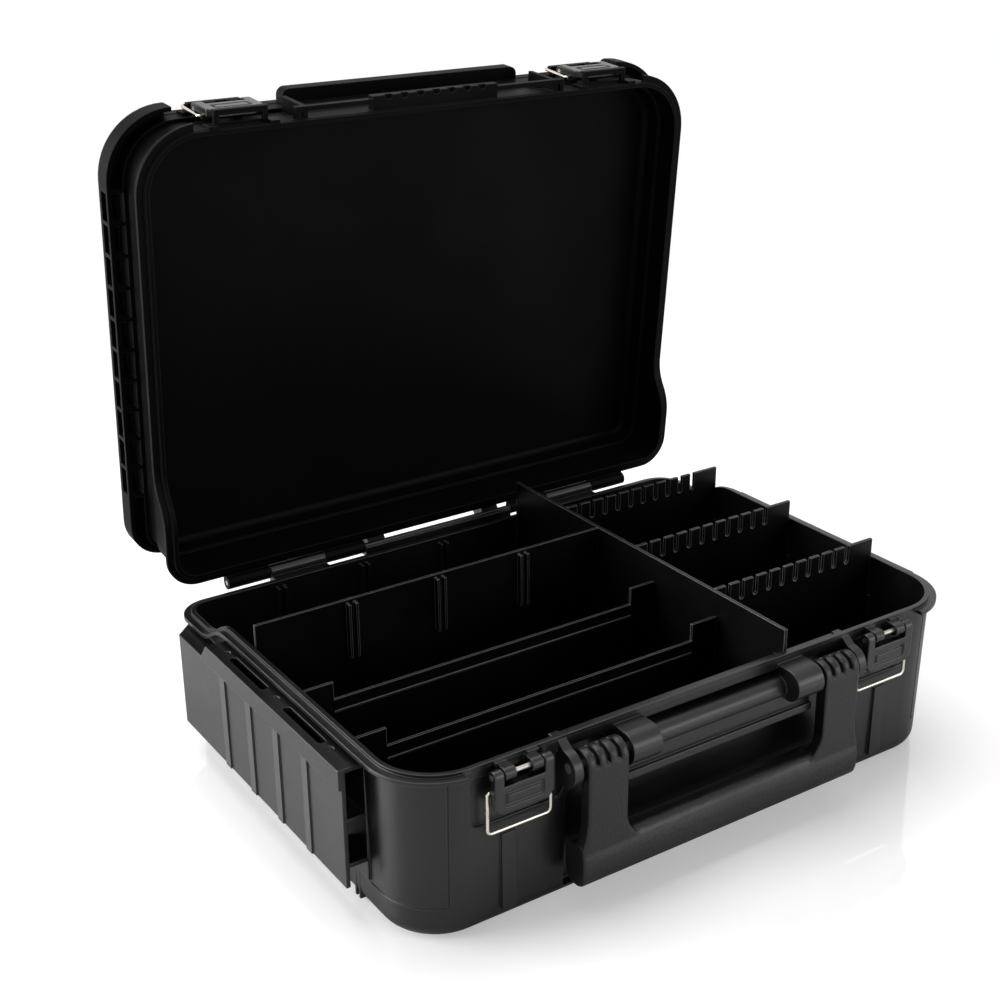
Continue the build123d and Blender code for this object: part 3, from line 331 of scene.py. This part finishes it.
FINISH_OF_SLOT = {
    "tub_plastic": SHELL_SKIN,
    "lid_plastic": LID_SKIN_PAINTED_SHADE,
    "divider_plastic": DIVIDER_SKIN_PAINTED_SHADE,
    "handle_plastic": GRIP_SKIN,
    "latch_plastic": LATCH_SKIN,
    "plated_wire": WIRE_STEEL,
    "steel_pin": PIN_STEEL,
}
for name, node in NODES.items():
    node.data.materials.clear()
    node.data.materials.append(FINISH_OF_SLOT[SLOT_OF[name]])
print("finishes set on", len(NODES), "nodes")

# %% [markdown]
# No moulding has a sharp edge, and on black plastic the thin lights along its edges are most of
# what the eye gets. For the small hard parts those edges are made in the mesh: a closed copy of
# the CAD solid is rebuilt from small voxels and then relaxed, which rounds every edge by about
# one voxel. A bevel would need clean loops, and solids that were cut from each other have none.

# %% Softened copies of the latch levers
WELD_MM = 0.002
LEVER_VOXEL, LEVER_PASSES = 0.32, 2


def linked(name, mesh):
    """Object for a mesh, put in the scene."""
    piece = bpy.data.objects.new(name, mesh)
    bpy.context.scene.collection.objects.link(piece)
    return piece


def closed_copy(node, name):
    """Copy of a CAD node's mesh with its loose triangles joined."""
    mesh = NODES[node].data.copy()
    work = bmesh.new()
    work.from_mesh(mesh)
    bmesh.ops.remove_doubles(work, verts=work.verts, dist=WELD_MM * MM)
    work.to_mesh(mesh)
    work.free()
    return linked(name, mesh)


def baked_mesh(piece):
    """Plain mesh of an object as its modifiers leave it; the modifiers are taken off."""
    bpy.context.view_layer.update()
    made = piece.evaluated_get(bpy.context.evaluated_depsgraph_get())
    mesh = bpy.data.meshes.new_from_object(made)
    piece.modifiers.clear()
    piece.data = mesh
    return mesh


def soften(piece, voxel_mm, passes):
    """Round every edge of a closed piece by remeshing and relaxing it."""
    remesh = piece.modifiers.new("voxels", "REMESH")
    remesh.mode = "VOXEL"
    remesh.voxel_size = voxel_mm * MM
    relax = piece.modifiers.new("relax", "SMOOTH")
    relax.factor = 0.5
    relax.iterations = passes
    baked_mesh(piece).shade_smooth()
    return piece


def stand_in(piece, node, finish):
    """Dress a finished piece, let it ride with its body and take the node's place."""
    piece.data.materials.clear()
    piece.data.materials.append(finish)
    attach(piece, BODY_OF[node])
    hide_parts(node)


for node in ("base_latch_left", "base_latch_right", "upper_latch_left", "upper_latch_right"):
    lever = soften(closed_copy(node, "soft_" + node), LEVER_VOXEL, LEVER_PASSES)
    stand_in(lever, node, LATCH_SKIN)
    print(lever.name, "faces", len(lever.data.polygons))

# %% [markdown]
# A thing that repeats at an even pitch is a job for Geometry Nodes: a line of points, one copy of
# a pattern piece on each, then real mesh again. The tree below has named inputs for the pattern,
# the number of copies, the step between them and the finish, so one tree serves every row. Each
# row is turned into a plain mesh and its modifier is taken off, because an exported model
# carries no live instances.

# %% Rows by Geometry Nodes
def row_tree():
    """Node group that repeats a pattern object along a straight line."""
    tree = bpy.data.node_groups.new("row_of_copies", "GeometryNodeTree")
    wanted = (("Pattern", "NodeSocketObject"), ("Count", "NodeSocketInt"),
              ("Step", "NodeSocketVector"), ("Finish", "NodeSocketMaterial"))
    tree.interface.new_socket("Geometry", in_out="INPUT", socket_type="NodeSocketGeometry")
    for name, kind in wanted:
        tree.interface.new_socket(name, in_out="INPUT", socket_type=kind)
    tree.interface.new_socket("Geometry", in_out="OUTPUT", socket_type="NodeSocketGeometry")
    given = add_node(tree, "NodeGroupInput").outputs
    pattern = add_node(tree, "GeometryNodeObjectInfo", {"Object": given["Pattern"]})
    line = add_node(
        tree, "GeometryNodeMeshLine", {"Count": given["Count"], "Offset": given["Step"]},
    )
    copies = add_node(
        tree, "GeometryNodeInstanceOnPoints",
        {"Points": line.outputs["Mesh"], "Instance": pattern.outputs["Geometry"]},
    )
    real = add_node(
        tree, "GeometryNodeRealizeInstances", {"Geometry": copies.outputs["Instances"]},
    )
    dressed = add_node(
        tree, "GeometryNodeSetMaterial",
        {"Geometry": real.outputs["Geometry"], "Material": given["Finish"]},
    )
    add_node(tree, "NodeGroupOutput", {"Geometry": dressed.outputs["Geometry"]})
    return tree


ROW_TREE = row_tree()


def row_of(pattern, count, step, finish, name):
    """Plain mesh object with a row of copies of a pattern object."""
    carrier = linked(name, bpy.data.meshes.new(name))
    modifier = carrier.modifiers.new("row", "NODES")
    modifier.node_group = ROW_TREE
    values = {"Pattern": pattern, "Count": count, "Step": Vector(step) * MM, "Finish": finish}
    for socket in ROW_TREE.interface.items_tree:
        if socket.in_out == "INPUT" and socket.name in values:
            modifier[socket.identifier] = values[socket.name]
    print(name, "copies", count, "faces", len(baked_mesh(carrier).polygons))
    return carrier


# %% [markdown]
# The handle is one moulding: two flat arms that hang from ribbed knuckles and flow into a full,
# rounded grip. Its solid has square corners, so it is modelled again from a few overlapping
# closed forms: a superellipse for the grip, plates for the arms, discs round a thinner core for
# the knuckles. Remeshing them together melts them into one skin, with a mould's soft fillets.
#
# Each knuckle's discs are one of the rows from above. Only the front upper part of the gap
# between two discs is open, as on a part that leaves its mould upwards.

# %% Handle
KNUCKLE_AT = (-135.5, 80.0)
KNUCKLE_R, KNUCKLE_CORE_R = 8.0, 4.8
ARM_IN, ARM_OUT = 64.5, 88.0
ARM_FRONT, ARM_BACK = -143.5, -136.5
GRIP_AT, GRIP_HALF = (-136.3, 25.2), (8.2, 11.9)
GRIP_END, GRIP_POWER = 91.0, 2.7
GRIP_TOP = GRIP_AT[1] + GRIP_HALF[1]
ROUND_STEPS = 64
GAP_BACK_COS, GAP_LOW_SIN = 0.5, -0.4
DISC_COUNT, DISC_GAP = 4, 2.2
DISC_W = (ARM_OUT - ARM_IN - (DISC_COUNT - 1) * DISC_GAP) / DISC_COUNT
HANDLE_VOXEL, HANDLE_PASSES = 0.75, 6

# An arm's fillets and foot: steps inwards or places along x, with heights from the grip's top.
INNER_FILLET = ((10.0, -6.0), (5.0, -1.0), (1.5, 4.0), (0.0, 9.0))
OUTER_FILLET = ((ARM_OUT, 12.0), (ARM_OUT + 1.2, 4.0), (GRIP_END, -3.0), (GRIP_END, -9.0))
FOOT_DROP = -12.0


def add_prism(work, profile, low, high, axis):
    """Closed prism from a profile: along X it is drawn in (y, z), along Y in (x, z)."""
    place = (lambda a, b, d: (d, a, b)) if axis == "X" else (lambda a, b, d: (a, d, b))
    rings = [
        [work.verts.new([v * MM for v in place(a, b, d)]) for a, b in profile]
        for d in (low, high)
    ]
    work.faces.new(rings[0])
    work.faces.new(list(reversed(rings[1])))
    count = len(profile)
    for i in range(count):
        j = (i + 1) % count
        work.faces.new((rings[0][j], rings[0][i], rings[1][i], rings[1][j]))


def superellipse(centre, half, power):
    """Points of a rounded box profile."""
    points = []
    for i in range(ROUND_STEPS):
        t = 2 * math.pi * i / ROUND_STEPS
        c, s = math.cos(t), math.sin(t)
        a = centre[0] + half[0] * math.copysign(abs(c) ** (2 / power), c)
        b = centre[1] + half[1] * math.copysign(abs(s) ** (2 / power), s)
        points.append((a, b))
    return points


def knuckle_profile(as_core):
    """Circle of a knuckle; as core it is cut back where the gaps between discs are open."""
    points = []
    for i in range(ROUND_STEPS):
        t = 2 * math.pi * (i + 0.5) / ROUND_STEPS
        c, s = math.cos(t), math.sin(t)
        in_gap = as_core and c < GAP_BACK_COS and s > GAP_LOW_SIN
        r = KNUCKLE_CORE_R if in_gap else KNUCKLE_R
        points.append((KNUCKLE_AT[0] + r * c, KNUCKLE_AT[1] + r * s))
    return points


def arm_profile(side):
    """Outline of one arm, seen from the front."""
    points = [(ARM_IN - inward, GRIP_TOP + rise) for inward, rise in INNER_FILLET]
    points += [(ARM_IN, KNUCKLE_AT[1]), (ARM_OUT, KNUCKLE_AT[1])]
    points += [(x, GRIP_TOP + rise) for x, rise in OUTER_FILLET]
    points.append((ARM_IN - INNER_FILLET[0][0], GRIP_TOP + FOOT_DROP))
    return [(side * x, z) for x, z in points]


def finished_mesh(work, name):
    """Mesh from an edit mesh, which is freed."""
    mesh = bpy.data.meshes.new(name)
    work.to_mesh(mesh)
    work.free()
    return mesh


work = bmesh.new()
add_prism(work, knuckle_profile(False), 0, DISC_W, "X")
disc = linked("knuckle_disc", finished_mesh(work, "knuckle_disc"))

work = bmesh.new()
add_prism(work, superellipse(GRIP_AT, GRIP_HALF, GRIP_POWER), -GRIP_END, GRIP_END, "X")
for side in (-1, 1):
    low, high = sorted((side * ARM_IN, side * ARM_OUT))
    add_prism(work, arm_profile(side), ARM_FRONT, ARM_BACK, "Y")
    add_prism(work, knuckle_profile(True), low, high, "X")
    row = row_of(disc, DISC_COUNT, (DISC_W + DISC_GAP, 0, 0), GRIP_SKIN, "knuckle_discs")
    row.data.transform(Matrix.Translation((low * MM, 0, 0)))
    work.from_mesh(row.data)
    bpy.data.objects.remove(row)
bpy.data.objects.remove(disc)
bmesh.ops.recalc_face_normals(work, faces=work.faces)
handle = linked("moulded_handle", finished_mesh(work, "moulded_handle"))
stand_in(soften(handle, HANDLE_VOXEL, HANDLE_PASSES), "handle", GRIP_SKIN)
print("handle faces", len(handle.data.polygons))

# %% [markdown]
# On the lid the two upper bails are hooked over their catches and pulled tight, so their cross
# wires lie low behind the levers. The solids lean them clear of the catches to let the cover
# turn. Here a copy of each wire is swung back about its own pivot by most of that lean.

# %% Hooked bails
HOOK_BACK_DEG = 11.0
JOINT_OF = {joint["child"]: joint for joint in BEHAVIOUR["joints"]}
SWING = Matrix.Rotation(math.radians(-HOOK_BACK_DEG), 4, "X")
for side in ("left", "right"):
    node = "upper_bail_" + side
    bail = closed_copy(node, "hooked_bail_" + side)
    pivot = Vector(JOINT_OF[BODY_OF[node]]["pos_m"])
    bail.data.transform(Matrix.Translation(pivot) @ SWING @ Matrix.Translation(-pivot))
    bail.data.shade_smooth()
    stand_in(bail, node, WIRE_STEEL)

# %% [markdown]
# The floor is a sheet of white gloss board, large enough that its edge never shows. Near the
# case it is a real surface that takes the shadow and a faint mirror image. Further out it
# fades to a plain white that only the camera sees, so the horizon never shows in the picture.

# %% Floor
FLOOR_HALF, FLOOR_Z = 6.0, -0.0002
FADE_STARTS, FADE_ENDS = 0.45, 0.95
FLOOR_ROUGH, FLOOR_GLOSS, FLOOR_LIFT = 0.05, 1.0, 0.36


def flat_sheet(name, half, height):
    """Square horizontal sheet."""
    mesh = bpy.data.meshes.new(name)
    corners = [(x * half, y * half, height) for x, y in ((-1, -1), (1, -1), (1, 1), (-1, 1))]
    mesh.from_pydata(corners, [], [(0, 1, 2, 3)])
    return linked(name, mesh)


floor = flat_sheet("floor", FLOOR_HALF, FLOOR_Z)
material, tree, shader = new_material("white_gloss_board")
shader.inputs["Base Color"].default_value = linear("#E4E4E4")
shader.inputs["Roughness"].default_value = FLOOR_ROUGH
shader.inputs["Specular IOR Level"].default_value = FLOOR_GLOSS
by_camera = add_node(tree, "ShaderNodeLightPath").outputs["Is Camera Ray"]
lift = add_node(
    tree, "ShaderNodeEmission", {"Strength": by_camera}, {"Color": grey(FLOOR_LIFT)},
)
near = add_node(tree, "ShaderNodeAddShader", {0: shader.outputs[0], 1: lift.outputs[0]})
reach = add_node(tree, "ShaderNodeVectorMath", {0: object_place(tree)}, operation="LENGTH")
far = remap(tree, reach.outputs["Value"], FADE_STARTS, FADE_ENDS)
both = add_node(
    tree, "ShaderNodeMixShader",
    {
        0: calc(tree, "MULTIPLY", far, by_camera),
        1: near.outputs[0],
        2: add_node(tree, "ShaderNodeEmission").outputs[0],
    },
)
tree.links.new(both.outputs[0], tree.nodes["Material Output"].inputs["Surface"])
floor.data.materials.append(material)
print("floor reaches", FLOOR_HALF, "m each way")

# %% [markdown]
# The light is a plain studio set: a broad softbox at the left that draws the long highlights
# on the side rack and the handle, a weaker one behind and above for the rims, and a low front
# fill. The world is white only to the camera and to mirror rays, so the background clips to
# white while the case itself is lit at an even level.

# %% Lights and world
CASE_MIDDLE = (0, 0, 0.1)
WORLD_GREY = 0.22
LAMPS = (
    ("side_softbox", (-1.9, 1.0, 0.7), (1.6, 1.2), 62),
    ("top_softbox", (0.0, 0.6, 2.4), (2.0, 1.4), 40),
    ("front_fill", (1.3, -2.0, 0.7), (1.4, 1.0), 14),
)


def softbox(name, place, size, watts):
    """Rectangular area lamp that looks at the middle of the case."""
    lamp = bpy.data.lights.new(name, "AREA")
    lamp.shape = "RECTANGLE"
    lamp.size, lamp.size_y = size
    lamp.energy = watts
    box = linked(name, lamp)
    box.location = place
    towards = Vector(CASE_MIDDLE) - Vector(place)
    box.rotation_euler = towards.to_track_quat("-Z", "Y").to_euler()


for lamp_values in LAMPS:
    softbox(*lamp_values)
    print(lamp_values[0], lamp_values[-1], "W")

world = bpy.data.worlds.new("studio")
bpy.context.scene.world = world
world.use_nodes = True
tree = world.node_tree
seen = add_node(tree, "ShaderNodeLightPath").outputs
shown = calc(tree, "MAXIMUM", seen["Is Camera Ray"], seen["Is Glossy Ray"])
shown = calc(tree, "MAXIMUM", shown, seen["Is Transmission Ray"])
room = mix_colours(tree, shown, grey(WORLD_GREY), grey(1.0))
tree.links.new(room, tree.nodes["Background"].inputs["Color"])

bpy.context.scene.view_settings.view_transform = "Standard"
